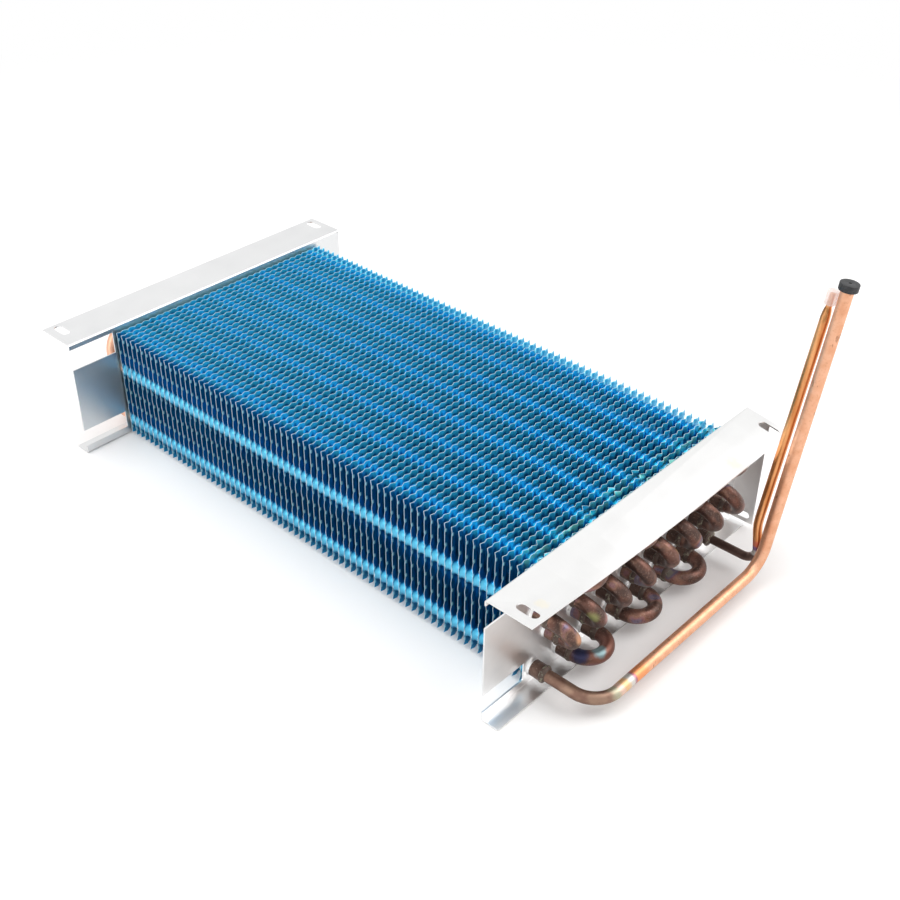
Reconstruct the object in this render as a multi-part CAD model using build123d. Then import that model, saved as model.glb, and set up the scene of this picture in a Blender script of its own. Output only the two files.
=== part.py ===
from build123d import *
import math
import os

# Evaporator coil: a pack of thin fins on a staggered circuit of tubes,
# held between two folded end plates, with two copper lines at the near end.
# Millimetres. X runs along the tubes, Y across the fins, Z is up.

# Tube pattern
pitch_y = 25.0
rows = 4
columns = 8
row_height = pitch_y * math.sqrt(3) / 2
tube_d = 9.52
tube_clear = 0.1

# Fins
fin_pitch = 5.6
fin_thick = 0.2
fin_end_gap = 2.8
fins_per_group = 5
fin_width = pitch_y * columns
fin_height = row_height * rows

# End plates
span = 392.0
sheet = 1.0
sheet_bend = 1.6
plate_near_y = 37.9
plate_far_y = 24.2
plate_drop = 1.5
plate_rise = 4.6
top_flange = 33.2
foot_flange = 13.1
notch_depth = 36.4
top_strip = 4.3
upper_notch_low = 21.0
lower_notch_top = 20.0
foot_strip = 6.5
end_tab_reach = 19.5
end_tab_low = 4.0
end_tab_top = 2.0
relief = 3.0

# Mounting slots
slot_w = 6.5
slot_len = 15.0
slot_from_web = 22.5
slot_from_near = 9.5
slot_from_far = 7.7
tab_slot_w = 5.0
tab_slot_len = 10.0
tab_slot_from_web = 11.5
tab_slot_z = 9.5

# Tube ends
stub = 10.0
short_leg = 0.5
long_leg = 2.0

# Lines: both rise at a lean, out from the plate and back along it, in degrees.
lean_back = 6.1
suction_d = 8.0
suction_bend = 18.0
suction_out = 49.4
suction_skew = 0.6
suction_end_y = 78.5
suction_lean = 3.45
suction_top = 214.3
liquid_d = 6.0
liquid_bend = 9.0
liquid_lead = 6.0
liquid_out = 46.3
liquid_side = 1.75
liquid_drop = 1.4
liquid_back = 4.5
liquid_kink = 28.0
liquid_lean = 3.93
liquid_below = 18.9
pinch_len = 3.5
pinch_d = 3.4
pinch_tip = 7.0

# Round pieces are many-sided, and their bends turn in steps: so many to a half
# turn of a tube, and so many degrees each on the lines.
tube_sides = 8
tube_steps = 5
bend_sides = 10
bend_steps = 6
line_sides = 14
line_step = 18.0

# Caps on the lines
cap_d = 12.0
cap_h = 4.6
cap_grip = 3.0
cap_clear = 0.05
cap_dimple_d = 2.4
cap_dimple = 0.9
cap_sides = 18
plug_d = 7.0
plug_len = 9.0
plug_clear = 0.15
plug_sides = 16

half = span / 2
fin_count = int((span - 2 * fin_end_gap) / fin_pitch + 1.01)
web_out = half + sheet
y_near = -fin_width / 2 - plate_near_y
y_far = fin_width / 2 + plate_far_y
plate_h = plate_drop + fin_height + plate_rise
joint_x = web_out + stub
liquid_top = suction_top - liquid_below


def tube_yz(row, column):
    # Even rows start a quarter pitch in, odd rows three quarters in.
    shift = 0.25 if row % 2 == 0 else 0.75
    y = -fin_width / 2 + pitch_y * (column + shift)
    z = plate_drop + row_height * (row + 0.5)
    return y, z


def flat_radius(radius, sides):
    # Corner radius of a many-sided section with the area of the round tube.
    return radius * math.sqrt(2 * math.pi / (sides * math.sin(2 * math.pi / sides)))


def u_tube(row_a, col_a, row_b, col_b, start_x, arc_x, sides, steps):
    # One U-shaped tube, bent flat in its own plane and then turned into place.
    ya, za = tube_yz(row_a, col_a)
    yb, zb = tube_yz(row_b, col_b)
    reach = abs(arc_x - start_x)
    bend_r = math.hypot(yb - ya, zb - za) / 2
    corner_r = bend_r / math.cos(math.pi / steps / 2)
    points = [(0, -bend_r, 0)]
    for k in range(steps):
        a = math.pi * (k + 0.5) / steps - math.pi / 2
        points.append((reach + corner_r * math.cos(a), corner_r * math.sin(a), 0))
    points.append((0, bend_r, 0))
    start = Plane(origin=points[0], x_dir=(0, 1, 0), z_dir=(1, 0, 0))
    section = start * RegularPolygon(flat_radius(tube_d / 2, sides), sides)
    tube = sweep(section, path=Polyline(*points), transition=Transition.RIGHT)
    turn = math.degrees(math.atan2(zb - za, yb - ya))
    if arc_x < start_x:
        tube = tube.rotate(Axis.Y, 180)
    tube = tube.rotate(Axis.X, turn)
    return Pos(start_x, (ya + yb) / 2, (za + zb) / 2) * tube


def end_plate():
    # The folded channel: web, wide top flange and narrow foot flange.
    profile = Polyline(
        (half, 0),
        (half + foot_flange, 0),
        (half + foot_flange, sheet),
        (web_out, sheet),
        (web_out, plate_h - sheet),
        (half + top_flange, plate_h - sheet),
        (half + top_flange, plate_h),
        (half, plate_h),
        close=True,
    )
    channel = make_face(profile)
    bends = channel.vertices().filter_by_position(Axis.X, half - 0.1, half + 0.1)
    channel = fillet(bends, sheet_bend)
    inner = channel.vertices().filter_by_position(Axis.X, web_out - 0.1, web_out + 0.1)
    inner = inner.filter_by_position(Axis.Y, sheet - 0.1, plate_h - sheet + 0.1)
    channel = fillet(inner, sheet_bend - sheet)
    body = extrude(Plane.XZ.offset(-y_far) * channel, y_far - y_near)
    # Cut-outs at the near end leave a tab between two thin strips.
    for low, high in (
        (foot_strip, lower_notch_top),
        (plate_h - upper_notch_low, plate_h - top_strip),
    ):
        notch = Box(3 * sheet, notch_depth, high - low)
        body -= Pos(half, y_near + notch_depth / 2, (low + high) / 2) * notch
    # The far end of the web is folded outwards into an upright tab.
    gap = Box(3 * sheet, 2 * relief, plate_h - end_tab_top - end_tab_low + sheet_bend)
    mid_z = (plate_h - end_tab_top + end_tab_low) / 2
    body -= Pos(half, y_far, mid_z) * gap
    corner = Polyline(
        (half, y_far - relief),
        (web_out, y_far - relief),
        (web_out, y_far - sheet),
        (half + end_tab_reach, y_far - sheet),
        (half + end_tab_reach, y_far),
        (half, y_far),
        close=True,
    )
    fold = make_face(corner)
    outer = fold.vertices().sort_by(Axis.X)[:2].sort_by(Axis.Y)[-1]
    fold = fillet(outer, sheet_bend)
    tab = extrude(Pos(0, 0, end_tab_low) * fold, plate_h - end_tab_top - end_tab_low)
    body += tab
    # Mounting slots run along X.
    slot = extrude(SlotOverall(slot_len, slot_w), 3 * sheet, both=True)
    for y in (y_near + slot_from_near, y_far - slot_from_far):
        body -= Pos(half + slot_from_web, y, plate_h) * slot
    tab_cut = extrude(SlotOverall(tab_slot_len, tab_slot_w), 3 * sheet, both=True)
    tab_cut = tab_cut.rotate(Axis.X, 90)
    body -= Pos(half + tab_slot_from_web, y_far, tab_slot_z) * tab_cut
    # Tube holes, turned as the hairpins are.
    hole_r = flat_radius(tube_d / 2 + tube_clear, tube_sides)
    hole = RegularPolygon(hole_r, tube_sides)
    turn = math.degrees(math.atan2(row_height, pitch_y / 2))
    holes = []
    for row in range(rows):
        for column in range(columns):
            y, z = tube_yz(row, column)
            pin = extrude(Plane.YZ * hole, 4 * sheet, both=True).rotate(Axis.X, turn)
            holes.append(Pos(half, y, z) * pin)
    return body - holes


def fin():
    # One flat fin with a slot along each row of tubes.
    blank = Rectangle(fin_width, fin_height)
    clear = flat_radius(tube_d / 2, tube_sides) + tube_clear
    for row in range(rows):
        first = tube_yz(row, 0)[0]
        last = tube_yz(row, columns - 1)[0]
        z = row_height * (row + 0.5) - fin_height / 2
        window = Rectangle(last - first + 2 * clear, 2 * clear)
        blank -= Pos((first + last) / 2, z) * window
    plate = extrude(Plane.YZ * blank, fin_thick / 2, both=True)
    return Pos(0, 0, plate_drop + fin_height / 2) * plate


def bent_path(points, radii):
    # Straight runs joined by bends, each bend turned in short equal steps.
    out = [Vector(*points[0])]
    for k in range(1, len(points) - 1):
        before, corner, after = (Vector(*points[j]) for j in (k - 1, k, k + 1))
        back = (before - corner).normalized()
        on = (after - corner).normalized()
        turn = math.radians(180 - back.get_angle(on))
        middle = (back + on).normalized()
        across = (on - back).normalized()
        centre = corner + middle * (radii[k - 1] / math.cos(turn / 2))
        steps = max(1, round(math.degrees(turn) / line_step))
        reach = radii[k - 1] / math.cos(turn / steps / 2)
        for j in range(steps):
            a = (j + 0.5) * turn / steps - turn / 2
            out.append(centre - middle * (reach * math.cos(a)) + across * (reach * math.sin(a)))
    out.append(Vector(*points[-1]))
    return out


def line(points, radii, diameter):
    # A bent tube and the plane at its far end, facing along the tube.
    path = bent_path(points, radii)
    start = Plane(origin=path[0], z_dir=path[1] - path[0])
    section = RegularPolygon(flat_radius(diameter / 2, line_sides), line_sides)
    tube = sweep(start * section, path=Polyline(*path), transition=Transition.RIGHT)
    return tube, Plane(origin=path[-1], z_dir=path[-1] - path[-2])


def riser_top(x, y, z, lean, top):
    # Where a leaning riser from the given point reaches the given height.
    out = math.tan(math.radians(lean)) * (top - z)
    back = math.tan(math.radians(lean_back)) * (top - z)
    return x + out, y + back, top


def drum(diameter, height, sides):
    return extrude(RegularPolygon(flat_radius(diameter / 2, sides), sides), height)


parts = {}

near_plate = end_plate()
parts["near_end_plate"] = near_plate
parts["far_end_plate"] = near_plate.mirror(Plane.YZ)

# Hairpins: each joins two rows at the far end and is open at the near end.
number = 0
for low in range(0, rows, 2):
    for column in range(columns):
        number += 1
        parts[f"hairpin_{number:02d}"] = u_tube(
            low, column, low + 1, column, joint_x, -joint_x, tube_sides, tube_steps
        )

# Return bends at the near end close the circuit.
for column in range(1, columns - 1, 2):
    parts[f"bottom_bend_{(column + 1) // 2}"] = u_tube(
        0, column, 0, column + 1, joint_x, joint_x + long_leg, bend_sides, bend_steps
    )
for column in range(columns):
    parts[f"middle_bend_{column + 1}"] = u_tube(
        1, column, 2, column, joint_x, joint_x + short_leg, bend_sides, bend_steps
    )
for column in range(0, columns, 2):
    parts[f"top_bend_{column // 2 + 1}"] = u_tube(
        3, column, 3, column + 1, joint_x, joint_x + short_leg, tube_sides, tube_steps
    )

# Fins, in groups of separate sheets.
one_fin = fin()
first_x = -fin_pitch * (fin_count - 1) / 2
for first in range(0, fin_count, fins_per_group):
    sheets = []
    for k in range(first, min(first + fins_per_group, fin_count)):
        sheets.append(Pos(first_x + fin_pitch * k, 0, 0) * one_fin)
    parts[f"fins_{first // fins_per_group + 1:02d}"] = Compound(children=sheets)

# Suction line: out of the first tube, along the foot and up past the plate.
y, z = tube_yz(0, 0)
out_x = web_out + suction_out
suction_points = [
    (joint_x, y, z),
    (out_x, y, z),
    (out_x + suction_skew, suction_end_y, z),
    riser_top(out_x + suction_skew, suction_end_y, z, suction_lean, suction_top),
]
suction, suction_end = line(suction_points, [suction_bend] * 2, suction_d)
parts["suction_line"] = suction

# Liquid line: out of the last tube and up beside the suction line.
y, z = tube_yz(0, columns - 1)
out_x = web_out + liquid_out
side_y = y + liquid_side
liquid_points = [
    (joint_x, y, z),
    (joint_x + liquid_lead, y, z),
    (out_x, side_y, z - liquid_drop),
    (out_x - liquid_back, side_y, z + liquid_kink),
    riser_top(out_x - liquid_back, side_y, z + liquid_kink, liquid_lean, liquid_top),
]
liquid_radii = [2 * liquid_bend, liquid_bend, 4 * liquid_bend]
liquid, liquid_end = line(liquid_points, liquid_radii, liquid_d)
# Its end is pinched down to a narrow tip.
wide = RegularPolygon(flat_radius(liquid_d / 2, line_sides), line_sides)
tip = RegularPolygon(flat_radius(pinch_d / 2, line_sides), line_sides)
liquid += liquid_end * loft([wide, Pos(0, 0, pinch_len) * tip], ruled=True)
liquid += liquid_end * Pos(0, 0, pinch_len) * extrude(tip, pinch_tip)
parts["liquid_line"] = liquid

# Rubber cap pushed over the end of the suction line.
bore = 2 * flat_radius(suction_d / 2, line_sides) + 2 * cap_clear
cap = Pos(0, 0, -cap_grip) * drum(cap_d, cap_h, cap_sides)
cap -= Pos(0, 0, -cap_grip) * drum(bore, cap_grip, cap_sides)
dimple = drum(cap_dimple_d, cap_dimple, cap_sides // 2)
cap -= Pos(0, 0, cap_h - cap_grip - cap_dimple) * dimple
parts["suction_cap"] = suction_end * cap

# Clear plastic sleeve, closed at the top, on the pinched tip of the liquid line.
bore = pinch_d + 2 * plug_clear
plug = drum(plug_d, plug_len, plug_sides)
plug -= drum(bore, pinch_tip + plug_clear, line_sides)
parts["liquid_plug"] = liquid_end * Pos(0, 0, pinch_len) * plug

# The origin is at the middle of the whole outline, on the surface it stands on.
boxes = [piece.bounding_box() for piece in parts.values()]
mid_x = (min(b.min.X for b in boxes) + max(b.max.X for b in boxes)) / 2
mid_y = (min(b.min.Y for b in boxes) + max(b.max.Y for b in boxes)) / 2
low_z = min(b.min.Z for b in boxes)
print("moved by", -mid_x, -mid_y, -low_z)

os.makedirs("parts", exist_ok=True)
for name, piece in parts.items():
    export_step(Pos(-mid_x, -mid_y, -low_z) * piece, f"parts/{name}.step")
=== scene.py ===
import math

import bmesh
import bpy
from mathutils import Matrix, Vector, noise


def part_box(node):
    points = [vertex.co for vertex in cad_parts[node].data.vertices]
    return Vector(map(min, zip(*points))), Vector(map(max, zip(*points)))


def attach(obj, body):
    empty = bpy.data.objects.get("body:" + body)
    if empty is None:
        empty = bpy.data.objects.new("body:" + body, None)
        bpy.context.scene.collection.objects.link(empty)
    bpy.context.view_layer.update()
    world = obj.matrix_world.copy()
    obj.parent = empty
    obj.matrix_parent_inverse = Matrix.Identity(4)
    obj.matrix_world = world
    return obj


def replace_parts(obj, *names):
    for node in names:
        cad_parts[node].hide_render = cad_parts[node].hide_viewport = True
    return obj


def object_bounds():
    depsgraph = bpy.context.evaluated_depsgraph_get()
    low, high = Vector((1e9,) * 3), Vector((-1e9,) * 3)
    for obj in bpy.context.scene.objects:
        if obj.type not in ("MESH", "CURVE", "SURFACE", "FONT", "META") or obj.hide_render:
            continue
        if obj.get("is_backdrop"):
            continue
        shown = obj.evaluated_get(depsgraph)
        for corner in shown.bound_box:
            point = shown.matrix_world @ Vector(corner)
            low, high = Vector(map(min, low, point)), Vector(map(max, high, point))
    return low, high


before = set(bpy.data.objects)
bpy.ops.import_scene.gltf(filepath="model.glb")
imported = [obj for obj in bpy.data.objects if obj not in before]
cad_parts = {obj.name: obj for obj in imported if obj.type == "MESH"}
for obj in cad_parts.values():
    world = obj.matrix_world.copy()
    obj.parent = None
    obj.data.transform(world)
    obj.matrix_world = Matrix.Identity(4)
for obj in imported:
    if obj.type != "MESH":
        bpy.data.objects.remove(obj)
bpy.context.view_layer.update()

# End plates: a channel at each end, folded from 1 mm mill-finish aluminium
# sheet, with a wide slotted top flange, a narrow foot and an upright tab. The
# sheet has rolling lines, cloudy handling marks and pale stains of flux. The far plate and
# the near plate's top flange carry painted shade.
MM = 0.001
X, Y, Z = 0, 1, 2
near_low, near_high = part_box("near_end_plate")
far_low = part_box("far_end_plate")[0]
pack_low, pack_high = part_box("fins_01")
mid_x = (far_low[X] + near_high[X]) / 2
mid_y = (pack_low[Y] + pack_high[Y]) / 2
foot = pack_low[Z]


class Wire:
    """One value in a material, which works in plain sums."""

    def __init__(self, tree, socket):
        self.tree, self.socket = tree, socket

    def worked(self, operation, *parts):
        """What a Math node makes of the given values."""
        node = self.tree.nodes.new("ShaderNodeMath")
        node.operation = operation
        for socket, part in zip(node.inputs, parts):
            if isinstance(part, Wire):
                self.tree.links.new(part.socket, socket)
            else:
                socket.default_value = part
        return Wire(self.tree, node.outputs[0])

    def __add__(self, other):
        return self.worked("ADD", self, other)

    def __sub__(self, other):
        return self.worked("SUBTRACT", self, other)

    def __rsub__(self, other):
        return self.worked("SUBTRACT", other, self)

    def __mul__(self, other):
        return self.worked("MULTIPLY", self, other)

    __radd__ = __add__
    __rmul__ = __mul__

    def __abs__(self):
        return self.worked("ABSOLUTE", self)

    def cosine(self):
        return self.worked("COSINE", self)

    def or_more(self, other):
        return self.worked("MAXIMUM", self, other)

    def at_most(self, other):
        return self.worked("MINIMUM", self, other)


class Finish:
    """A material: its shader, and the nodes that feed it."""

    def __init__(self, name, **fixed):
        self.material = bpy.data.materials.new(name)
        self.material.use_nodes = True
        self.tree = self.material.node_tree
        self.shader = self.tree.nodes["Principled BSDF"]
        for key, value in fixed.items():
            self.shader.inputs[key.replace("_", " ").title()].default_value = value
        self.here = self.place()

    def node(self, kind, settings, sockets, out=0):
        """Any node: its settings first, then its sockets' values or links."""
        node = self.tree.nodes.new("ShaderNode" + kind)
        for key, value in settings.items():
            setattr(node, key, value)
        for key, value in sockets.items():
            if isinstance(value, Wire):
                self.tree.links.new(value.socket, node.inputs[key])
            else:
                node.inputs[key].default_value = value
        return Wire(self.tree, node.outputs[out])

    def vector(self, operation, sockets, out=0):
        return self.node("VectorMath", {"operation": operation}, sockets, out)

    def place(self):
        """A point's place from the middle of the pack's foot, in millimetres."""
        point = self.node("TexCoord", {}, {}, out="Object")
        moved = self.vector("SUBTRACT", {0: point, 1: (mid_x, mid_y, foot)})
        return self.vector("SCALE", {0: moved, "Scale": 1 / MM})

    def axis(self, k):
        """One part of a point's place: X, Y or Z."""
        return self.node("SeparateXYZ", {}, {0: self.here}, out=k)

    def rise(self, value, low, high):
        """0 below low, 1 above high, and a soft step between them."""
        return self.node(
            "MapRange",
            {"interpolation_type": "SMOOTHSTEP"},
            {"Value": value, "From Min": low, "From Max": high},
        )

    def cloud(self, size, detail=3.0, stretch=(1, 1, 1)):
        """Noise with lumps of about the given size in millimetres."""
        spread = self.vector("MULTIPLY", {0: self.here, 1: stretch})
        sockets = {"Vector": spread, "Scale": 1 / size, "Detail": detail}
        return self.node("TexNoise", {}, sockets)

    def spot(self, point, reach, ragged):
        """1 at a point, falling to 0 at about the given reach."""
        solid_share, ragged_size = 0.45, 3.0
        gap = self.vector("DISTANCE", {0: self.here, 1: point}, out="Value")
        gap = gap + ragged * (self.cloud(ragged_size) - 0.5)
        return 1 - self.rise(gap, solid_share * reach, reach)

    def blend(self, amount, first, second):
        """Two colours, the second by the given amount."""
        first = (*first, 1) if isinstance(first, tuple) else first
        second = (*second, 1) if isinstance(second, tuple) else second
        # A Mix node's factor is socket 0, and its colours are 6, 7 and out 2.
        sockets = {0: amount, 6: first, 7: second}
        return self.node("Mix", {"data_type": "RGBA"}, sockets, out=2)

    def set(self, key, wire):
        self.tree.links.new(wire.socket, self.shader.inputs[key])

    def bump(self, height, strength, depth):
        """Fine relief, with its depth in millimetres."""
        sockets = {"Height": height, "Strength": strength, "Distance": depth * MM}
        self.set("Normal", self.node("Bump", {}, sockets))


CLEAN_MILL, CLOUDED_MILL = (0.905, 0.90, 0.895), (0.84, 0.84, 0.84)
SCUFFED_MILL, STAINED_MILL = (0.80, 0.81, 0.82), (0.93, 0.84, 0.58)
SHADED_DARK, SHADED_PALE = (0.66, 0.67, 0.68), (0.82, 0.82, 0.82)
FLANGE_SHADE_PALE, FLANGE_SHADE_DARK = (0.805, 0.805, 0.80), (0.74, 0.74, 0.735)
SHADED_X, FLANGE_SHADE_Z = (-190, -150), (86, 89)
# A SIZE is a noise's, in millimetres, a STEP the stretch of its values over
# which a mark sets in, and a SHARE how strong a mark or painted shade is.
ROLLED_SIZE, CLOUD_SIZE, SCUFF_SIZE = 1.6, 26.0, 6.0
CLOUD_STEP, SCUFF_STEP = (0.35, 0.7), (0.56, 0.75)
SCUFF_SHARE, SHADED_SHARE, FLANGE_SHADE_SHARE = 0.2, 0.75, 0.8
# Each stain's place and reach, and how strong it is.
STAINS = (((220, -119, 91), 5.0, 0.3), ((224, 69, 91), 10.0, 0.45))
STAIN_RAGGED = 5.0

mill = Finish("mill_aluminium", metallic=1.0)
rolled = mill.cloud(ROLLED_SIZE, detail=4.0, stretch=(1.0, 1.0, 0.03))
clouds = mill.cloud(CLOUD_SIZE, detail=4.0)
scuffs = mill.cloud(SCUFF_SIZE, detail=5.0, stretch=(1.0, 0.25, 1.0))
tone = mill.blend(mill.rise(clouds, *CLOUD_STEP), CLEAN_MILL, CLOUDED_MILL)
tone = mill.blend(mill.rise(scuffs, *SCUFF_STEP) * SCUFF_SHARE, tone, SCUFFED_MILL)
# Painted shade: the far plate, from x = -150 mm on to its end, is given a darker grey, a
# shaded copy of the same sheet.
shaded = 1 - mill.rise(mill.axis(X), *SHADED_X)
shaded_tone = mill.blend(clouds, SHADED_DARK, SHADED_PALE)
tone = mill.blend(shaded * SHADED_SHARE, tone, shaded_tone)
# Painted shade: the near plate's top flange is darkened to a duller grey, so that it shows
# less of the lamps' glare.
flange = mill.rise(mill.axis(Z), *FLANGE_SHADE_Z) * (1 - shaded)
flange_shade_tone = mill.blend(clouds, FLANGE_SHADE_PALE, FLANGE_SHADE_DARK)
tone = mill.blend(flange * FLANGE_SHADE_SHARE, tone, flange_shade_tone)
for point, reach, strength in STAINS:
    stain = mill.spot(point, reach, STAIN_RAGGED)
    tone = mill.blend(stain * strength, tone, STAINED_MILL)
mill.set("Base Color", tone)
mill.set("Roughness", 0.22 + 0.16 * clouds + 0.06 * rolled + 0.08 * scuffs)
mill.bump(rolled * 0.35 + scuffs * 0.65, strength=0.05, depth=0.3)
far_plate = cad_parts["far_end_plate"]
far_plate.data.materials.clear()
far_plate.data.materials.append(mill.material)

# The near plate's top flange has been bent down a little along its outer
# edge: it sags towards the lines and bows in the middle, so this copy of the
# plate is cut into lengths. The fold itself and all below it stay.
SAG, BOW, LENGTHS = 5.6 * MM, 4.5 * MM, 12
FLANGE_DEPTH, FOLD_SHARE = 3 * MM, 0.1
near_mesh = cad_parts["near_end_plate"].data.copy()
near_mesh.materials.clear()
near_mesh.materials.append(mill.material)
flange_deep, plate_wide = near_high[X] - near_low[X], near_high[Y] - near_low[Y]
cut = bmesh.new()
cut.from_mesh(near_mesh)
for k in range(1, LENGTHS):
    everything = cut.verts[:] + cut.edges[:] + cut.faces[:]
    place = (0, near_low[Y] + plate_wide * k / LENGTHS, 0)
    bmesh.ops.bisect_plane(cut, geom=everything, plane_co=place, plane_no=(0, 1, 0))
for corner in cut.verts:
    if corner.co.z > near_high[Z] - FLANGE_DEPTH:
        out = max(0.0, (corner.co.x - near_low[X]) / flange_deep - FOLD_SHARE)
        along = (corner.co.y - near_low[Y]) / plate_wide
        corner.co.z -= out * (SAG * along + BOW * math.sin(math.pi * along))
cut.to_mesh(near_mesh)
cut.free()
near_plate = bpy.data.objects.new("near_plate_sagged", near_mesh)
bpy.context.scene.collection.objects.link(near_plate)
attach(near_plate, "root")
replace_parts(near_plate, "near_end_plate")

# Collars: the plate's own metal, drawn a little outwards round each tube
# hole, so that the thin sheet doesn't cut into the copper.
ROWS, COLUMNS, TUBE_PITCH = 4, 8, 25.0 * MM
ROW_PITCH = TUBE_PITCH * math.sqrt(3) / 2
TUBES = [(row, column) for row in range(ROWS) for column in range(COLUMNS)]
WEB_OUT = 197.0 * MM
ALONG_X, ALONG_Y = Vector((1, 0, 0)), Vector((0, 1, 0))


def stagger(row):
    """How far a row's first tube lies in from the pack's side, in pitches."""
    return 0.25 if row % 2 == 0 else 0.75


def at_tube(row, column, x):
    """The point on a tube's axis at x from the middle of the pack."""
    y = mid_y + TUBE_PITCH * (column + stagger(row) - COLUMNS / 2)
    return Vector((mid_x + x, y, foot + ROW_PITCH * (row + 0.5)))


def turned(centre, axis, side, profile, sides):
    """A form turned about an axis, from its distances along and out, in mm."""
    up = axis.cross(side)
    points, faces = [], []
    for along, radius in profile:
        for k in range(sides):
            a = 2 * math.pi * k / sides
            out = side * math.cos(a) + up * math.sin(a)
            points.append(centre + axis * (along * MM) + out * (radius * MM))
    for ring in range(len(profile) - 1):
        for k in range(sides):
            a, b = ring * sides + k, ring * sides + (k + 1) % sides
            faces.append((a, b, b + sides, a + sides))
    return points, faces


def joined(forms):
    """Several forms as one."""
    points, faces = [], []
    for some, some_faces in forms:
        start = len(points)
        points += some
        faces += [tuple(i + start for i in face) for face in some_faces]
    return points, faces


def piece(name, form, finishes, sharp, marks=None):
    """A mesh that rides on the coil's one body, creased at sharp degrees."""
    mesh = bpy.data.meshes.new(name)
    mesh.from_pydata(form[0], [], form[1])
    for finish in finishes:
        mesh.materials.append(finish.material)
    if marks:
        mesh.polygons.foreach_set("material_index", marks)
    mesh.shade_smooth()
    mesh.set_sharp_from_angle(angle=math.radians(sharp))
    made = bpy.data.objects.new(name, mesh)
    bpy.context.scene.collection.objects.link(made)
    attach(made, "root")
    return made


PLATE_COLLAR = (
    (-0.1, 6.0), (0.35, 5.75), (0.9, 5.45), (1.7, 5.3), (1.8, 5.1), (1.6, 4.9)
)
PLATE_COLLAR_SIDES, COLLAR_CREASE = 24, 40
for end, way in (("near", 1), ("far", -1)):
    plate_rings = []
    for row, column in TUBES:
        centre = at_tube(row, column, way * WEB_OUT)
        plate_rings.append(
            turned(centre, way * ALONG_X, ALONG_Y, PLATE_COLLAR, PLATE_COLLAR_SIDES)
        )
    form = joined(plate_rings)
    piece(f"{end}_plate_collars", form, [mill], COLLAR_CREASE)

# Fins: seventy thin aluminium sheets with a bright blue coat, pressed in
# shallow waves, flat round each tube and drawn into a collar that sets the
# next sheet's place. The sheared edges are bare metal.
FIN_COUNT, FIN_PITCH, PER_GROUP = 70, 5.6 * MM, 5
FIN_THICK = 0.2 * MM
WIDTH, HEIGHT = TUBE_PITCH * COLUMNS, ROW_PITCH * ROWS
WAVE, WAVE_DEEP = TUBE_PITCH / 4, 0.62 * MM
WAVE_FLAT = 0.82
RIPPLE_IN, RIPPLE_DEEP = 5.0 * MM, 0.42 * MM
FLAT_R, FLAT_FADE = 7.4 * MM, 2.2 * MM

COAT_DEEP, COAT_BRIGHT = (0.045, 0.54, 0.84), (0.06, 0.60, 0.88)
COAT_LIT_TOP, COAT_GRAIN = (0.06, 0.75, 1.0), (0.20, 0.72, 0.92)
TROUGH_SHADE_BLUE, SIDE_SHADE_BLUE = (0.006, 0.15, 0.46), (0.008, 0.24, 0.52)
BAND_HIGHLIGHT_BLUE, CRUMPLE_GLINT_GREEN = (0.13, 0.42, 0.62), (0.34, 0.88, 0.74)
GLINT_PALE = (0.42, 0.92, 1.0)
SIDE_BARE_GLINT, TOP_BARE_GLINT = (0.86, 0.95, 1.0), (0.46, 0.82, 0.95)
BARE_DARK, BARE_PALE = (0.58, 0.82, 0.93), (0.80, 0.93, 0.98)
# Where each look sets in: heights above the foot (Z), and distances inwards
# from the pack's long sides (IN), in millimetres.
LIT_TOP_Z, TROUGH_Z, TROUGH_STOP_Z = (79.0, 86.0), (77.0, 80.0), (81.8, 84.8)
SIDE_STOP_Z, CREST_Z, EDGE_Z = (85.0, 86.3), (84.8, 86.2), (86.2, 86.5)
LIT_TOP_IN, SIDE_IN, BAND_IN = (2.0, 6.0), (5.0, 8.0), (3.0, 6.5)
GLINT_IN, EDGE_IN = (0.6, 2.2), (0.25, 0.6)
CRUMPLE_GLINT_X = (177, 188)
GRAIN_SIZE, PATCH_SIZE, CRUMPLE_GLINT_SIZE = 1.2, 22.0, 8.0
GRAIN_STEP, PATCH_STEP, CRUMPLE_GLINT_STEP = (0.55, 0.8), (0.35, 0.65), (0.45, 0.55)
GRAIN_SHARE, CRUMPLE_GLINT_SHARE, CREST_GLINT_SHARE = 0.25, 0.9, 0.7
TROUGH_SHADE_SHARE, SIDE_SHADE_SHARE, BAND_HIGHLIGHT_SHARE = 0.8, 0.7, 0.6
# Between which values of a wave, from -1 to 1, each painted shade or highlight sets in.
TROUGH_STEP, CREST_STEP = (-0.1, 0.5), (-0.95, -0.5)
BAND_STEP, RIPPLE_STEP = (0.70, 1.0), (0.45, 0.95)

blue = Finish("blue_coat", coat_weight=0.3, coat_roughness=0.2)
beside, height = blue.axis(Y), blue.axis(Z)
inward = WIDTH / MM / 2 - abs(beside)
grain = blue.cloud(GRAIN_SIZE)
patch = blue.cloud(PATCH_SIZE, detail=2.0)
# Painted light: the top of the pack is a lighter cyan, where light falls in from above,
# and less metallic there.
top = blue.rise(height, *LIT_TOP_Z) * blue.rise(inward, *LIT_TOP_IN)
coat = blue.blend(blue.rise(patch, *PATCH_STEP), COAT_DEEP, COAT_BRIGHT)
coat = blue.blend(top, coat, COAT_LIT_TOP)
coat = blue.blend(blue.rise(grain, *GRAIN_STEP) * GRAIN_SHARE, coat, COAT_GRAIN)
# Painted shade: the coat is darkened deep between the fins, in the waves'
# troughs and along the sides, where the fins shade each other, except in the bands beside
# the outer tubes.
wave = ((beside + WIDTH / MM / 2) * (2 * math.pi * MM / WAVE)).cosine()
trough_shade = blue.rise(wave, *TROUGH_STEP) * (1 - blue.rise(height, *TROUGH_STOP_Z))
trough_shade = trough_shade * blue.rise(height, *TROUGH_Z)
coat = blue.blend(trough_shade * TROUGH_SHADE_SHARE, coat, TROUGH_SHADE_BLUE)
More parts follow.
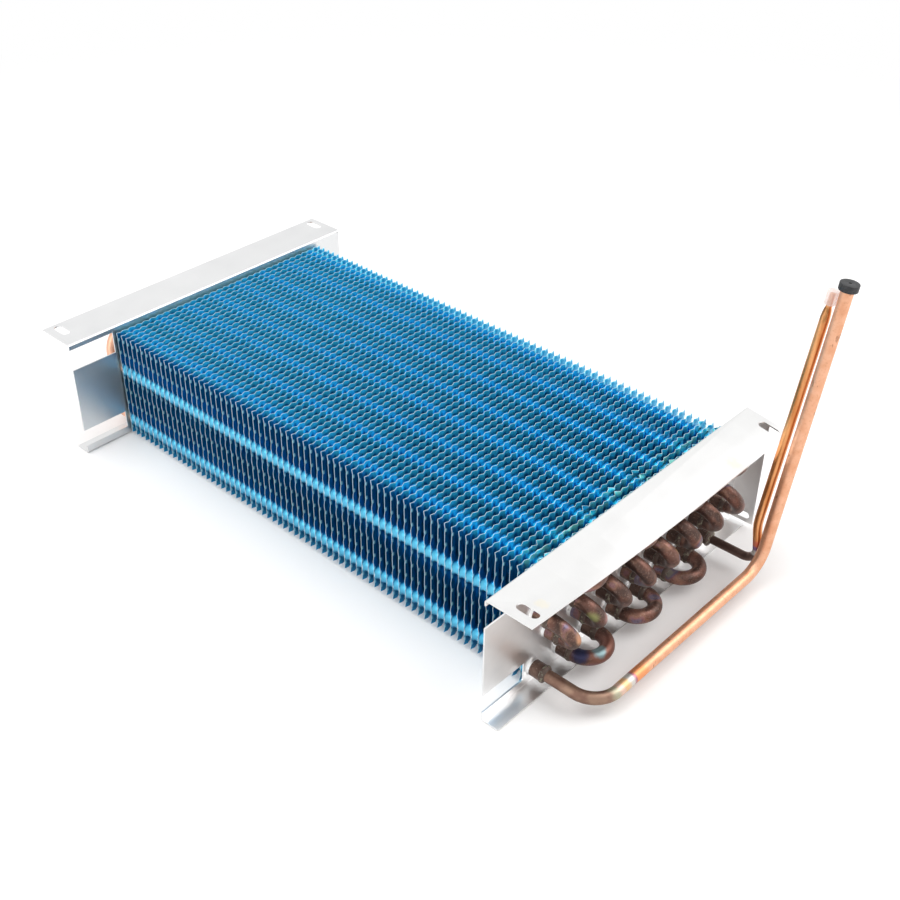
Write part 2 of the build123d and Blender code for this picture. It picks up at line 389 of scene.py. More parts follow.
# Painted highlight: lighter bands along the outer tube rows beside the long sides.
rows = ((height - ROW_PITCH / MM / 2) * (math.pi * MM / ROW_PITCH)).cosine()
outer_row = rows * (1 - 2 * blue.rise(beside, -1, 1))
band = blue.rise(outer_row, *BAND_STEP)
# Painted shade along the long sides below the top.
side = (1 - blue.rise(inward, *SIDE_IN)) * (1 - blue.rise(height, *SIDE_STOP_Z))
coat = blue.blend(side * (1 - band) * SIDE_SHADE_SHARE, coat, SIDE_SHADE_BLUE)
outer = 1 - blue.rise(inward, *BAND_IN)
coat = blue.blend(band * outer * BAND_HIGHLIGHT_SHARE, coat, BAND_HIGHLIGHT_BLUE)
# Painted reflection: teal-green patches on the top of the last fins before the near plate,
# where the crumpled sheets catch the light.
crumple_glint = blue.rise(blue.cloud(CRUMPLE_GLINT_SIZE), *CRUMPLE_GLINT_STEP)
crumple_glint = blue.rise(blue.axis(X), *CRUMPLE_GLINT_X) * crumple_glint
coat = blue.blend(crumple_glint * top * CRUMPLE_GLINT_SHARE, coat, CRUMPLE_GLINT_GREEN)
# Painted highlights: pale on the ripples' crests along the sides and on the
# waves' crests along the top. The very edges are paler bare metal, drawn wider than they
# are with a painted glint.
ripple_glint = (height * (4 * math.pi * MM / ROW_PITCH) - math.pi).cosine()
ripple_glint = blue.rise(ripple_glint, *RIPPLE_STEP) * (1 - blue.rise(inward, *GLINT_IN))
crest_glint = (1 - blue.rise(wave, *CREST_STEP)) * blue.rise(height, *CREST_Z)
edge = (1 - blue.rise(inward, *EDGE_IN)).or_more(blue.rise(height, *EDGE_Z))
coat = blue.blend(ripple_glint.or_more(crest_glint * CREST_GLINT_SHARE), coat, GLINT_PALE)
edge_bare_glint = blue.blend(top, SIDE_BARE_GLINT, TOP_BARE_GLINT)
blue.set("Base Color", blue.blend(edge * (0.8 - 0.4 * ripple_glint), coat, edge_bare_glint))
blue.set("Metallic", 0.97 - 0.32 * top - 0.65 * edge.or_more(ripple_glint))
blue.set("Roughness", 0.26 + 0.16 * grain)
blue.bump(grain, strength=0.10, depth=0.3)

BURR_SIZE, BURR_STEP = 2.0, (0.3, 0.7)
bare = Finish("sheared_edge", metallic=0.2, roughness=0.45)
burr = bare.rise(bare.cloud(BURR_SIZE, detail=2.0), *BURR_STEP)
bare.set("Base Color", bare.blend(burr, BARE_DARK, BARE_PALE))


def flatness(y, z):
    """0 on the flat round a tube, 1 where the sheet is waved."""
    flat = 1.0
    for row in range(ROWS):
        column = round(y / TUBE_PITCH - stagger(row))
        tube_y = TUBE_PITCH * (column + stagger(row))
        gap = math.hypot(y - tube_y, z - ROW_PITCH * (row + 0.5))
        t = min(1.0, max(0.0, (gap - FLAT_R) / FLAT_FADE))
        flat = min(flat, t * t * (3 - 2 * t))
    return flat


def waved(y, z):
    """How far the pressed waves push a fin along X."""
    swing = 1 - 4 * abs((y / WAVE) % 1.0 - 0.5)
    swing = max(-WAVE_FLAT, min(WAVE_FLAT, swing)) / WAVE_FLAT
    at_side = max(0.0, 1 - min(y, WIDTH - y) / RIPPLE_IN)
    swell = at_side * math.cos(2 * math.pi * (2 * z / ROW_PITCH - 0.5))
    return (WAVE_DEEP * swing * (1 - at_side) + RIPPLE_DEEP * swell) * flatness(y, z)


def steps(start, stop, size):
    """Even steps of about the given size, with both ends."""
    count = max(1, round(abs(stop - start) / size))
    return [start + (stop - start) * k / count for k in range(count + 1)]


# The sheet is meshed finely where it can be seen: along its top, its foot
# and its two long sides. Each wave is folded at both ends of its slopes.
FOLDS = (0.045, 0.455, 0.545, 0.955)
FINE_WAVES = 2.05
CROWN = (10.0, 7.4, 5.4, 3.8, 2.4, 1.2, 0)
HEM = (0, 1.5, 3.5, 6.5, 10.0)
FLANK_STEP, MIDDLE_STEP = 1.8 * MM, 30 * MM
folds = [WAVE * (k + q) for k in range(round(WIDTH / WAVE)) for q in FOLDS]
folds = [0.0] + folds + [WIDTH]
near_folds = [y for y in folds if y <= FINE_WAVES * WAVE]
far_folds = [WIDTH - y for y in reversed(near_folds)]
crown = [HEIGHT - q * MM for q in CROWN]
hem = [q * MM for q in HEM]
flank = steps(hem[-1], crown[0], FLANK_STEP)
middle = steps(near_folds[-1], far_folds[0], MIDDLE_STEP)
grids = [
    (folds, crown),
    (folds, hem),
    (near_folds, flank),
    (far_folds, flank),
    (middle, [flank[0], flank[-1]]),
]
up_side = (hem + flank[1:] + crown[1:])[1:-1]
rim = [(y, HEIGHT) for y in folds]
rim += [(WIDTH, z) for z in reversed(up_side)]
rim += [(y, 0.0) for y in reversed(folds)]
rim += [(0.0, z) for z in up_side]


def sheet():
    """One fin about x = 0: its two faces and the sheared edge between."""
    points, faces, marks = [], [], []
    for ys, zs in grids:
        for face in (-1, 1):
            start = len(points)
            points += [
                (waved(y, z) + face * FIN_THICK / 2, y, z) for z in zs for y in ys
            ]
            for j in range(len(zs) - 1):
                for i in range(len(ys) - 1):
                    a = start + j * len(ys) + i
                    quad = (a, a + 1, a + 1 + len(ys), a + len(ys))
                    faces.append(quad if face > 0 else quad[::-1])
                    marks.append(0)
    start = len(points)
    for y, z in rim:
        points += [(waved(y, z) + face * FIN_THICK / 2, y, z) for face in (-1, 1)]
    for k in range(len(rim)):
        a, b = start + 2 * k, start + 2 * ((k + 1) % len(rim))
        faces.append((a, a + 1, b + 1, b))
        marks.append(1)
    return points, faces, marks


SLACK, MOST_BENT = 0.35 * MM, 1.8 * MM
SLACK_LONG, SLACK_HIGH = 60 * MM, 45 * MM
CRUMPLED_FINS, CRUMPLED_DEEP = 3, 9 * MM
CRUMPLE_LONG, CRUMPLE_HIGH = 2.2 * MM, 3 * MM
CRUMPLE_OUT, CRUMPLE_BACK = 3.2 * MM, 0.4 * MM
# How far on in the noise the next fin lies, so that no two fins are alike.
SLACK_ON, CRUMPLE_ON = 0.9, 3.1


def pressed(k, y, z):
    """How handling has bent fin k: a little all over, more beside the plate."""
    slack = SLACK * noise.noise(Vector((k * SLACK_ON, y / SLACK_LONG, z / SLACK_HIGH)))
    if k >= FIN_COUNT - CRUMPLED_FINS:
        near_top = max(0.0, 1 - (HEIGHT - z) / CRUMPLED_DEEP)
        between = 0.5 + 0.5 * math.cos(2 * math.pi * (y / TUBE_PITCH - 0.75))
        place = Vector((k * CRUMPLE_ON, y / CRUMPLE_LONG, z / CRUMPLE_HIGH))
        rough = CRUMPLE_OUT * noise.noise(place) - CRUMPLE_BACK
        slack += near_top * between**2 * rough
    return min(slack, MOST_BENT)


FIN_COLLAR = ((0.0, 6.4), (0.5, 5.6), (1.4, 5.15), (5.4, 5.05))
FIN_COLLAR_SIDES, FIN_CREASE = 12, 50
sheet_points, sheet_faces, sheet_marks = sheet()
for group in range(FIN_COUNT // PER_GROUP):
    forms, marks = [], []
    for k in range(group * PER_GROUP, (group + 1) * PER_GROUP):
        x = FIN_PITCH * (k - (FIN_COUNT - 1) / 2)
        points = []
        for wavy, y, z in sheet_points:
            moved = mid_x + x + wavy + pressed(k, y, z)
            points.append((moved, mid_y - WIDTH / 2 + y, foot + z))
        forms.append((points, sheet_faces))
        marks += sheet_marks
        for row, column in TUBES:
            centre = at_tube(row, column, x)
            drawn_out = turned(centre, ALONG_X, ALONG_Y, FIN_COLLAR, FIN_COLLAR_SIDES)
            forms.append(drawn_out)
            marks += [0] * len(drawn_out[1])
    node = f"fins_{group + 1:02d}"
    form = joined(forms)
    fins = piece(f"{node}_waved", form, [blue, bare], FIN_CREASE, marks)
    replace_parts(fins, node)

# Hairpins: sixteen 9.52 mm copper tubes through the whole pack, each bent at
# the far end, and widened at its open ends to take the return bends. The
# copper is bright at the far end and browned by brazing at the near one.
JOINT_X, TUBE_R = WEB_OUT + 10.0 * MM, 4.76 * MM
BELL_R, BELL_LONG, BELL_FADE = 5.3 * MM, 8.2 * MM, 10.0 * MM
HAIRPIN_STEPS, HAIRPIN_SIDES, TUBE_CREASE = 20, 24, 60
BRIGHT_COPPER = (0.90, 0.50, 0.34)
BROWN_DARK, BROWN_PALE = (0.084, 0.048, 0.038), (0.150, 0.087, 0.064)
RUBBED_COPPER, SOOT = (0.36, 0.25, 0.20), (0.04, 0.026, 0.024)
# Tempering marks: between which values of a slow noise, the colour and how
# strong it is.
TEMPERING = (
    (0.54, 0.59, (0.36, 0.19, 0.13), 0.5),
    (0.595, 0.63, (0.28, 0.14, 0.17), 0.6),
    (0.635, 0.67, (0.15, 0.17, 0.28), 0.6),
    (0.68, 0.72, (0.40, 0.38, 0.26), 0.6),
)
BROWNED_X = (170, 196)
BLOTCH_SIZE, FINE_SIZE, HUE_SIZE = 9.0, 1.1, 17.0
BLOTCH_STEP, RUBBED_STEP, SOOT_STEP = (0.38, 0.66), (0.56, 0.70), (0.58, 0.70)
RUBBED_SHARE, SOOT_SHARE = 0.5, 0.6


def heated_copper(name, ruddy):
    """Copper browned by flame, from bright at the far end of the coil."""
    copper = Finish(name, metallic=0.75, coat_weight=0.15, coat_roughness=0.35)
    blotch = copper.rise(copper.cloud(BLOTCH_SIZE), *BLOTCH_STEP)
    fine = copper.cloud(FINE_SIZE, detail=4.0)
    hue = copper.cloud(HUE_SIZE, detail=1.5, stretch=(1.3, 0.9, 1.0))
    red_brown = (BROWN_PALE[0] * ruddy, *BROWN_PALE[1:])
    skin = copper.blend(blotch, BROWN_DARK, red_brown)
    for low, high, colour, strength in TEMPERING:
        skin = copper.blend(copper.rise(hue, low, high) * strength, skin, colour)
    rubbed = copper.rise(fine, *RUBBED_STEP)
    skin = copper.blend(rubbed * RUBBED_SHARE, skin, RUBBED_COPPER)
    sooty = copper.rise(1 - fine, *SOOT_STEP)
    skin = copper.blend(sooty * SOOT_SHARE, skin, SOOT)
    clean = 1 - copper.rise(copper.axis(X), *BROWNED_X)
    copper.set("Base Color", copper.blend(clean, skin, BRIGHT_COPPER))
    copper.set("Roughness", 0.28 + 0.30 * fine - 0.08 * clean)
    copper.bump(fine, strength=0.3, depth=0.4)
    return copper, skin


def tube(path, radii, sides):
    """A round tube along a path, closed at both ends."""
    points, faces = [], []
    side = (path[1] - path[0]).orthogonal().normalized()
    for k, (spot, radius) in enumerate(zip(path, radii)):
        ahead = path[min(len(path) - 1, k + 1)] - path[max(0, k - 1)]
        ahead.normalize()
        side = (side - ahead * side.dot(ahead)).normalized()
        up = ahead.cross(side)
        for j in range(sides):
            a = 2 * math.pi * j / sides
            points.append(spot + (side * math.cos(a) + up * math.sin(a)) * radius)
    for k in range(len(path) - 1):
        for j in range(sides):
            a, b = k * sides + j, k * sides + (j + 1) % sides
            faces.append((a, b, b + sides, a + sides))
    last = (len(path) - 1) * sides
    faces.append(tuple(range(sides))[::-1])
    faces.append(tuple(last + j for j in range(sides)))
    return points, faces


def half_turn(first, second, leg, count):
    """From one tube's end to another's: a leg, half a circle and a leg.

    The bend goes outwards along X where leg is positive, and back where not.
    """
    out = Vector((math.copysign(1, leg), 0, 0))
    centre = (first + second) / 2 + out * abs(leg)
    arm = (first - second) / 2
    path = [first]
    for k in range(count + 1):
        a = math.pi * k / count
        path.append(centre + arm * math.cos(a) + out * (arm.length * math.sin(a)))
    return path + [second]


browned = heated_copper("browned_copper", 1.0)[0]
bell = [Vector((-q, 0, 0)) for q in (0, BELL_LONG, BELL_FADE)]
bell_radii = [BELL_R, BELL_R, TUBE_R]
hairpins = [(low, column) for low in (0, 2) for column in range(COLUMNS)]
for number, (low, column) in enumerate(hairpins, 1):
    first = at_tube(low, column, JOINT_X)
    second = at_tube(low + 1, column, JOINT_X)
    bend = half_turn(first, second, -2 * JOINT_X, HAIRPIN_STEPS)[1:-1]
    path = [first + q for q in bell] + bend + [second + q for q in bell[::-1]]
    radii = bell_radii + [TUBE_R] * len(bend) + bell_radii[::-1]
    node = f"hairpin_{number:02d}"
    form = tube(path, radii, HAIRPIN_SIDES)
    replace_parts(piece(f"{node}_tube", form, [browned], TUBE_CREASE), node)

# Return bends: short half turns of the same tube, brazed into the widened
# ends. Three lie flat along the bottom, eight slant between the middle rows
# and four lie flat under the top flange. The flame has coloured a few, and one has a
# painted highlight.
BEND_STEPS, BEND_SIDES, RUDDY = 28, 32, 1.25
LONG_LEG, SHORT_LEG = 2.0 * MM, 0.5 * MM
MARK_RAGGED, MARK_SHARE = 3.0, 0.85
# Each mark's place, reach and colour: red and navy on the first bottom bend
# with a pale blue painted highlight, then gold, olive, pink, gold and blue on middle
# bends.
FLAME_AND_GLINT_MARKS = (
    ((219, -56, 9), 17, (0.21, 0.085, 0.06)),
    ((214, -69, 13), 7, (0.015, 0.03, 0.10)),
    ((221, -60, 15), 6, (0.20, 0.33, 0.35)),
    ((225, -82, 46), 9, (0.80, 0.44, 0.24)),
    ((221, -71, 47), 6, (0.30, 0.32, 0.12)),
    ((224, -57, 44), 7, (0.62, 0.36, 0.34)),
    ((222, 18, 50), 7, (0.75, 0.42, 0.16)),
    ((224, 19, 45), 6, (0.20, 0.26, 0.50)),
)
flamed_glinted, flamed_glinted_skin = heated_copper("flame_marked_glinted_copper", RUDDY)
for point, reach, colour in FLAME_AND_GLINT_MARKS:
    mark = flamed_glinted.spot(point, reach, MARK_RAGGED)
    flamed_glinted_skin = flamed_glinted.blend(mark * MARK_SHARE, flamed_glinted_skin, colour)
flamed_glinted.set("Base Color", flamed_glinted_skin)
bends = []
for k in range(COLUMNS // 2 - 1):
    bends.append((f"bottom_bend_{k + 1}", (0, 2 * k + 1), (0, 2 * k + 2), LONG_LEG))
for k in range(COLUMNS):
    bends.append((f"middle_bend_{k + 1}", (1, k), (2, k), SHORT_LEG))
for k in range(COLUMNS // 2):
    bends.append((f"top_bend_{k + 1}", (3, 2 * k), (3, 2 * k + 1), SHORT_LEG))
for node, one, other, leg in bends:
    path = half_turn(at_tube(*one, JOINT_X), at_tube(*other, JOINT_X), leg, BEND_STEPS)
    form = tube(path, [TUBE_R] * len(path), BEND_SIDES)
    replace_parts(piece(f"{node}_tube", form, [flamed_glinted], TUBE_CREASE), node)

# Suction line: 8 mm copper, brazed into the first tube. It turns along the
# foot of the near plate and rises at the far corner, leaning out and back.
# Heat has browned its first bend, with tempering bands before the clean pink.
SUCTION_TUBE, SUCTION_R = (0, 0), 4.0 * MM
SUCTION_UNEVEN, UNEVEN_SIZE = 0.04 * MM, 9 * MM
SUCTION_CORNERS = ((0, 0, 0), (39.4, 0, 0), (40.0, 172.25, 0))
SUCTION_LEAN, SUCTION_RISE, BACK_LEAN = 3.45, 201.97, 6.1
SUCTION_BEND_R, SUCTION_SIDES = 18 * MM, 32
ARC_DEGREES, RUN_STEP = 6, 12 * MM
PINK_PALE, PINK_DEEP = (0.85, 0.48, 0.31), (0.77, 0.39, 0.23)
DRAWN_LINES, SPECKS = (0.60, 0.30, 0.16), (0.34, 0.15, 0.08)
HEATED_DARK, HEATED_PALE = (0.24, 0.14, 0.105), (0.34, 0.22, 0.16)
FOOT_RUN_Z = (30, 45)
DRAWN_SIZE, CLOUDY_SIZE, SPECK_SIZE, RAGGED_SIZE = 1.6, 8.0, 4.0, 5.0
PINK_STEP, DRAWN_STEP = (0.35, 0.7), (0.54, 0.72)
SPECK_STEP, HEATED_STEP = (0.66, 0.72), (0.4, 0.65)
DRAWN_SHARE, SPECK_SHARE, RAGGED = 0.4, 0.6, 5.0
# Tempering bands along the foot run: where each starts and how softly, in
# millimetres. Below them the tube is brown.
SUCTION_BANDS = (
    (-54, 8, (0.85, 0.36, 0.16)),
    (-62, 2, (0.42, 0.14, 0.22)),
    (-64, 3, (0.66, 0.64, 0.60)),
    (-69, 3, (0.78, 0.52, 0.28)),
    (-74, 3, (0.76, 0.54, 0.44)),
    (-79, 4, (0.46, 0.44, 0.32)),
)
SUCTION_BROWN = (-85, 6)


def rounded(points, radii):
    """Straight runs with a true arc at each corner."""
    path = [points[0]]
    for k in range(1, len(points) - 1):
        corner, radius = points[k], radii[k - 1]
        back = (points[k - 1] - corner).normalized()
        on = (points[k + 1] - corner).normalized()
        turn = math.pi - back.angle(on)
        inside, across = (back + on).normalized(), (on - back).normalized()
        centre = corner + inside * (radius / math.cos(turn / 2))
        count = max(1, round(math.degrees(turn) / ARC_DEGREES))
        for j in range(count + 1):
            a = turn * j / count - turn / 2
            path.append(centre + (across * math.sin(a) - inside * math.cos(a)) * radius)
    return path + [points[-1]]


def in_lengths(path):
    """The same path with its straight runs cut into short lengths."""
    out = [path[0]]
    for a, b in zip(path, path[1:]):
        count = max(1, round((b - a).length / RUN_STEP))
        out += [a.lerp(b, (k + 1) / count) for k in range(count)]
    return out


def riser(start, out_lean, height):
    """The top of a riser that leans out by its own angle, and back as both do."""
    rise = height * MM
    out = math.tan(math.radians(out_lean)) * rise
    back = math.tan(math.radians(BACK_LEAN)) * rise
    return start + Vector((out, back, rise))


pink = Finish("drawn_copper", metallic=1.0)
drawn = pink.cloud(DRAWN_SIZE, detail=4.0)
cloudy = pink.cloud(CLOUDY_SIZE)
speckled = pink.cloud(SPECK_SIZE, detail=4.0, stretch=(1, 1, 0.5))
ragged = pink.axis(Y) + RAGGED * (pink.cloud(RAGGED_SIZE) - 0.5)
shank = pink.blend(pink.rise(cloudy, *PINK_STEP), PINK_PALE, PINK_DEEP)
shank = pink.blend(pink.rise(drawn, *DRAWN_STEP) * DRAWN_SHARE, shank, DRAWN_LINES)
shank = pink.blend(pink.rise(speckled, *SPECK_STEP) * SPECK_SHARE, shank, SPECKS)
foot_run = 1 - pink.rise(pink.axis(Z), *FOOT_RUN_Z)
heated = pink.blend(pink.rise(cloudy, *HEATED_STEP), HEATED_DARK, HEATED_PALE)
for start, fade, colour in (*SUCTION_BANDS, (*SUCTION_BROWN, heated)):
    reached = (1 - pink.rise(ragged, start, start + fade)) * foot_run
    shank = pink.blend(reached, shank, colour)
pink.set("Base Color", shank)
pink.set("Roughness", 0.40 + 0.16 * drawn)
pink.bump(drawn, strength=0.08, depth=0.3)
suction_start = at_tube(*SUCTION_TUBE, JOINT_X)
corners = [suction_start + Vector(q) * MM for q in SUCTION_CORNERS]
corners.append(riser(corners[-1], SUCTION_LEAN, SUCTION_RISE))
path = in_lengths(rounded(corners, [SUCTION_BEND_R] * 2))
radii = [SUCTION_R + SUCTION_UNEVEN * noise.noise(q / UNEVEN_SIZE) for q in path]
form = tube(path, radii, SUCTION_SIDES)
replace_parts(piece("suction_tube", form, [pink], TUBE_CREASE), "suction_line")
suction_end, suction_on = path[-1], (path[-1] - path[-2]).normalized()

# Liquid line: 6 mm copper out of the last tube, up behind the suction line,
# with its end pinched down to a narrow tip. It is brown as far as the foot
# of the riser, and reddish above a blue and violet ring.
LIQUID_TUBE, LIQUID_R, LIQUID_SIDES = (0, COLUMNS - 1), 3 * MM, 28
LIQUID_CORNERS = ((0, 0, 0), (6.0, 0, 0), (36.3, 1.75, -1.4), (31.8, 1.75, 28.0))
LIQUID_LEAN, LIQUID_RISE = 3.93, 155.07
LIQUID_BENDS = [18 * MM, 9 * MM, 36 * MM]
# The pinched tip: distances past the riser's end and radii, in millimetres.
PINCHED = ((-5, 2.95), (-2, 2.7), (0, 2.4), (1.5, 2.0), (3.5, 1.7), (10.4, 1.6))
RED_PALE, RED_DEEP = (0.82, 0.40, 0.17), (0.62, 0.24, 0.08)
RED_LINES, CRIMP_DARK = (0.40, 0.16, 0.07), (0.10, 0.06, 0.02)
# Up to which height each band of colour reaches, and how softly it ends.
LIQUID_BANDS = (
    (26, 3, (0.70, 0.22, 0.14)),
    (22, 2, (0.30, 0.18, 0.34)),
    (19, 2, (0.62, 0.60, 0.58)),
    (15, 2, (0.16, 0.105, 0.09)),
)
CRIMP_Z, CRIMP_STOP_Z = (185, 190), (195, 197)
STREAK_SIZE, RING_SIZE, RING_RAGGED = 4.0, 4.0, 1.5
STREAK_STEP, LINES_STEP, CRIMP_STEP = (0.35, 0.68), (0.55, 0.75), (0.4, 0.6)
LINES_SHARE, CRIMP_SHARE = 0.25, 0.8

red = Finish("reddened_copper", metallic=1.0)
riser_z = red.axis(Z)
red_drawn = red.cloud(DRAWN_SIZE, detail=4.0)
streak = red.cloud(STREAK_SIZE, stretch=(1, 1, 0.12))
red_shank = red.blend(red.rise(streak, *STREAK_STEP), RED_PALE, RED_DEEP)
red_lines = red.rise(red_drawn, *LINES_STEP) * LINES_SHARE
red_shank = red.blend(red_lines, red_shank, RED_LINES)
ragged_z = riser_z + RING_RAGGED * (red.cloud(RING_SIZE) - 0.5)
for stop, fade, colour in LIQUID_BANDS:
    below = 1 - red.rise(ragged_z, stop, stop + fade)
    red_shank = red.blend(below, red_shank, colour)
crimp = red.rise(riser_z, *CRIMP_Z) * (1 - red.rise(riser_z, *CRIMP_STOP_Z))
crimp = crimp * red.rise(streak, *CRIMP_STEP)
red_shank = red.blend(crimp * CRIMP_SHARE, red_shank, CRIMP_DARK)
red.set("Base Color", red_shank)
red.set("Roughness", 0.26 + 0.16 * red_drawn)
red.bump(red_drawn, strength=0.08, depth=0.3)
liquid_start = at_tube(*LIQUID_TUBE, JOINT_X)
corners = [liquid_start + Vector(q) * MM for q in LIQUID_CORNERS]
corners.append(riser(corners[-1], LIQUID_LEAN, LIQUID_RISE))
path = in_lengths(rounded(corners, LIQUID_BENDS))
liquid_end, liquid_on = path[-1], (path[-1] - path[-2]).normalized()
radii = [LIQUID_R] * (len(path) - 1) + [radius * MM for along, radius in PINCHED]
path = path[:-1] + [liquid_end + liquid_on * (along * MM) for along, radius in PINCHED]
form = tube(path, radii, LIQUID_SIDES)
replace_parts(piece("liquid_tube", form, [red], TUBE_CREASE), "liquid_line")

# Brazed joints: a ring of solder with dried greenish flux where each bend
# and line enters its widened tube end.
FLUX_BROWN, FLUX_GREEN = (0.11, 0.075, 0.06), (0.34, 0.33, 0.24)
BEAD = [(-1.2, 5.3), (-0.9, 5.65), (0.0, 5.8), (0.8, 5.5)]
BEAD_SIDES, LUMPS, LUMP_SIZE = 24, 0.07, 2.2 * MM
CRUST_SIZE, CRUST_STEP, GREEN_SHARE = 2.2, (0.52, 0.66), 0.7
flux = Finish("dried_flux", metallic=0.35, roughness=0.5)
crust = flux.cloud(CRUST_SIZE, detail=4.0)
green = flux.rise(crust, *CRUST_STEP) * GREEN_SHARE
flux.set("Base Color", flux.blend(green, FLUX_BROWN, FLUX_GREEN))
flux.bump(crust, strength=0.4, depth=0.6)
entering = {SUCTION_TUBE: SUCTION_R, LIQUID_TUBE: LIQUID_R}
braze_rings = []
for row, column in TUBES:
    centre = at_tube(row, column, JOINT_X)
    thin = entering.get((row, column), TUBE_R) / MM
    bead = BEAD + [(1.5, thin + 0.5), (2.2, thin + 0.1), (2.3, thin - 0.4)]
    smooth, faces = turned(centre, ALONG_X, ALONG_Y, bead, BEAD_SIDES)
    lumpy = []
    for spot in smooth:
        out = spot - Vector((spot.x, centre.y, centre.z))
        lumpy.append(spot + out * (LUMPS * noise.noise(spot / LUMP_SIZE)))
    braze_rings.append((lumpy, faces))
piece("brazed_rings", joined(braze_rings), [flux], TUBE_CREASE)

# Rubber cap: black, moulded, pushed over the open end of the suction line,
# with a small dimple in its top.
BLACK_DARK, BLACK_PALE = (0.010, 0.011, 0.012), (0.028, 0.029, 0.031)
DUST_GREY, DUST_SHARE = (0.09, 0.085, 0.09), 0.3
CAP_SIDES, CAP_CREASE = 48, 50
MOULD_SIZE, DUST_SIZE, MOULD_STEP, DUST_STEP = 1.0, 5.0, (0.3, 0.7), (0.5, 0.75)
CAP_SKIRT = [
    (-3.0, 4.02), (-3.0, 5.7), (-2.7, 5.95), (1.3, 5.98), (1.55, 5.8), (1.6, 5.5)
]
CAP_DIMPLE = [(1.6, 1.3), (1.5, 1.1), (0.9, 0.9), (0.7, 0.01)]
rubber = Finish("black_rubber", roughness=0.5)
mould = rubber.cloud(MOULD_SIZE)
dust = rubber.rise(rubber.cloud(DUST_SIZE), *DUST_STEP)
black = rubber.blend(rubber.rise(mould, *MOULD_STEP), BLACK_DARK, BLACK_PALE)
rubber.set("Base Color", rubber.blend(dust * DUST_SHARE, black, DUST_GREY))
rubber.bump(mould, strength=0.2, depth=0.3)
cap_side = suction_on.cross(ALONG_Y).normalized()
form = turned(suction_end, suction_on, cap_side, CAP_SKIRT + CAP_DIMPLE, CAP_SIDES)
cap = piece("rubber_cap", form, [rubber], CAP_CREASE)
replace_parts(cap, "suction_cap")

# Clear sleeve: soft plastic tube, closed at the top, slid over the pinched
# tip of the liquid line.
HAZE_PINK, HAZE_PALE = (0.93, 0.72, 0.66), (0.96, 0.84, 0.80)
SLEEVE = ((0.0, 1.9), (0.0, 3.3), (0.2, 3.5), (8.8, 3.5), (9.0, 3.3), (9.0, 0.01))
SLEEVE_START, SLEEVE_SIDES, SLEEVE_CREASE, HAZE_SIZE = 3.5 * MM, 32, 50, 3.0
clear = Finish("clear_plastic", roughness=0.3, alpha=0.5)
haze = clear.cloud(HAZE_SIZE, detail=2.0)
clear.set("Base Color", clear.blend(haze, HAZE_PINK, HAZE_PALE))
sleeve_foot = liquid_end + liquid_on * SLEEVE_START
sleeve_side = liquid_on.cross(ALONG_Y).normalized()
form = turned(sleeve_foot, liquid_on, sleeve_side, SLEEVE, SLEEVE_SIDES)
sleeve = piece("clear_sleeve", form, [clear], SLEEVE_CREASE)
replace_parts(sleeve, "liquid_plug")

# Bench: a white floor. To the eye it is a little brighter than its paint, and
# it fades to plain white away from the coil, as a photographer's sweep does.
PAPER_DARK, PAPER_PALE = (0.90, 0.895, 0.89), (0.92, 0.915, 0.91)
GLOW, GLOW_STRENGTH = (1.0, 0.97, 0.96, 1), 0.10
WHITE = (1, 1, 1, 1)
TOOTH_SIZE, SWEEP, FLOOR_HALF, FLOOR_UNDER = 4.0, (450, 1100), 6.0, 0.3 * MM
paper = Finish("white_floor", roughness=0.9)
tooth = paper.cloud(TOOTH_SIZE, detail=2.0)
paper.set("Base Color", paper.blend(tooth, PAPER_DARK, PAPER_PALE))
lit = Wire(paper.tree, paper.shader.outputs[0])
glow = paper.node("Emission", {}, {"Color": GLOW, "Strength": GLOW_STRENGTH})
brighter = paper.node("AddShader", {}, {0: lit, 1: glow})
white = paper.node("Emission", {}, {"Color": WHITE, "Strength": 1.0})
away = paper.rise(paper.vector("LENGTH", {0: paper.here}, out="Value"), *SWEEP)
swept = paper.node("MixShader", {}, {0: away, 1: brighter, 2: white})
seen = paper.node("LightPath", {}, {}, out="Is Camera Ray")
seen = seen + paper.node("LightPath", {}, {}, out="Is Transmission Ray")
shown = paper.node("MixShader", {}, {0: seen, 1: lit, 2: swept})
output = paper.tree.nodes["Material Output"]
paper.tree.links.new(shown.socket, output.inputs["Surface"])
ring = ((-1, -1), (1, -1), (1, 1), (-1, 1))
floor_mesh = bpy.data.meshes.new("floor")
floor_corners = [(x * FLOOR_HALF, y * FLOOR_HALF, 0) for x, y in ring]
floor_mesh.from_pydata(floor_corners, [], [(0, 1, 2, 3)])
floor_mesh.materials.append(paper.material)
floor = bpy.data.objects.new("floor", floor_mesh)
floor.location.z = -FLOOR_UNDER
bpy.context.scene.collection.objects.link(floor)
floor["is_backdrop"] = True

# Studio: an even white surround and three soft lamps, one nearly overhead,
# one high beyond the lines and a weak one low before the long side. The eye,
# gloss and clear plastic see the surround as plain white.
SKY_DIM, SKY_SEEN = 0.66, 0.34
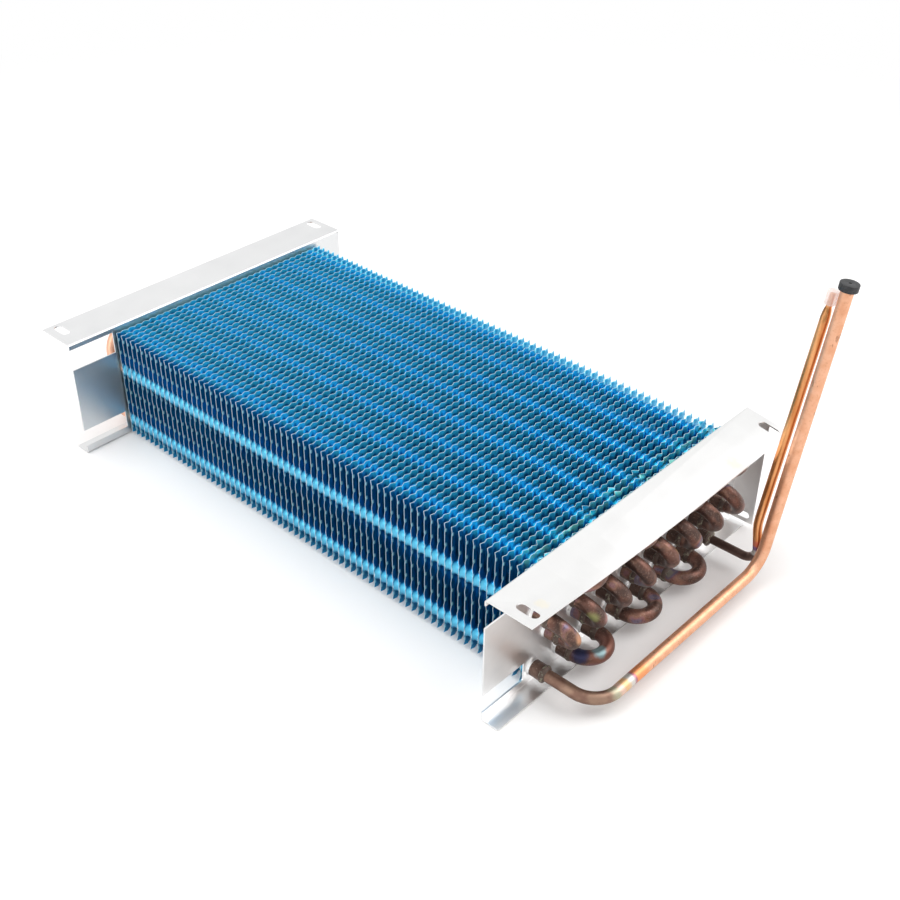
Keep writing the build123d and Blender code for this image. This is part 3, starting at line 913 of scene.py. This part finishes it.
LAMPS = (
    ("key", (-0.4, -0.3, 1.9), 1.4, 19),
    ("fill", (1.1, 1.0, 1.5), 1.4, 18),
    ("side", (-0.8, -1.8, 0.8), 1.0, 6),
)
studio = bpy.data.worlds.new("studio")
bpy.context.scene.world = studio
studio.use_nodes = True
rays = studio.node_tree.nodes.new("ShaderNodeLightPath")
sky = studio.node_tree.nodes["Background"]
camera_ray, glossy_ray, clear_ray = (
    Wire(studio.node_tree, rays.outputs[f"Is {kind} Ray"])
    for kind in ("Camera", "Glossy", "Transmission")
)
direct = (camera_ray + glossy_ray + clear_ray).at_most(1.0)
strength = SKY_DIM + SKY_SEEN * direct
studio.node_tree.links.new(strength.socket, sky.inputs["Strength"])
sky.inputs["Color"].default_value = WHITE
for name, place, size, power in LAMPS:
    light = bpy.data.lights.new(name, "AREA")
    light.energy, light.size = power, size
    lamp = bpy.data.objects.new(name, light)
    lamp.location = place
    lamp.rotation_euler = (-Vector(place)).to_track_quat("-Z", "Y").to_euler()
    bpy.context.scene.collection.objects.link(lamp)

# Camera: above the corner with the connecting lines, looking down at 35
# degrees across the near plate and along the pack.
SENSOR_WIDE, LENS_LONG, CLIP_NEAR, CLIP_FAR = 36.0, 51.022, 0.05, 50.0
EYE_X, EYE_Y, EYE_Z = 0.52887, -0.53285, 0.55165
right = Vector((0.73580, 0.67714, 0.00836))
down = Vector((0.39316, -0.41711, -0.81942))
ahead = Vector((-0.55138, 0.60622, -0.57313))
lens = bpy.data.cameras.new("camera")
lens.sensor_width, lens.lens = SENSOR_WIDE, LENS_LONG
lens.clip_start, lens.clip_end = CLIP_NEAR, CLIP_FAR
eye_place = Matrix.Translation((mid_x + EYE_X, mid_y + EYE_Y, EYE_Z))
eye_turn = Matrix((right, -down, -ahead)).transposed().to_4x4()
eye = bpy.data.objects.new("camera", lens)
eye.matrix_world = eye_place @ eye_turn
bpy.context.scene.collection.objects.link(eye)
bpy.context.scene.camera = eye
bpy.context.scene.view_settings.view_transform = "Standard"

low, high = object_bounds()
